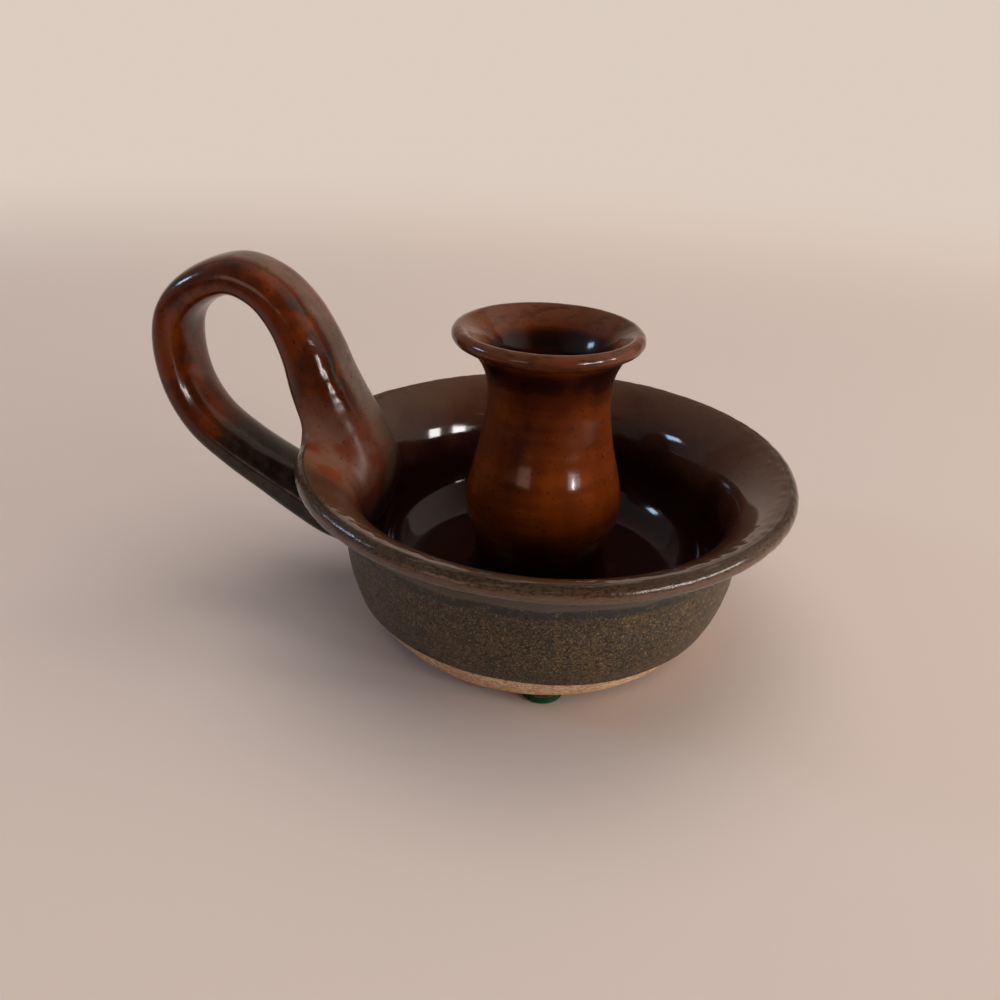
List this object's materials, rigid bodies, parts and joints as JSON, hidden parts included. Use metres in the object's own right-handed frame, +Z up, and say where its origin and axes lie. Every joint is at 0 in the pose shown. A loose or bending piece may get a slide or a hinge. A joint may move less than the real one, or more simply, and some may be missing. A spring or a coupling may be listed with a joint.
{
  "type": "chamberstick",
  "caption": "Stoneware chamberstick: a drip saucer with a flared candle socket at its centre and a tall strap handle looped for one finger.",
  "frame": {"origin": "on the saucer's axis, in the plane that the felt pads rest on", "axes": "+Z up along the axis of the saucer and the candle socket; the handle points along -X"},
  "size_m": [0.1603, 0.12, 0.0864],
  "materials": {
    "saucer_stoneware": "glossy dark brown glaze inside, satin speckled olive-brown outside, bare tan clay at the foot",
    "socket_stoneware": "glossy rust-brown glaze",
    "handle_stoneware": "glossy red-brown glaze with dark green-black patches",
    "slip": "glossy brown glaze over slip",
    "felt": "matted dark green felt",
    "adhesive": "thin translucent adhesive film"
  },
  "bodies": {
    "root": {"saucer": "saucer_stoneware", "candle_socket": "socket_stoneware", "handle": "handle_stoneware", "socket_slip_joint": "slip", "handle_inner_slip_joint": "slip", "handle_outer_slip_joint": "slip", "felt_pad_front": "felt", "pad_adhesive_front": "adhesive", "felt_pad_back_right": "felt", "pad_adhesive_back_right": "adhesive", "felt_pad_back_left": "felt", "pad_adhesive_back_left": "adhesive"}
  },
  "joints": []
}
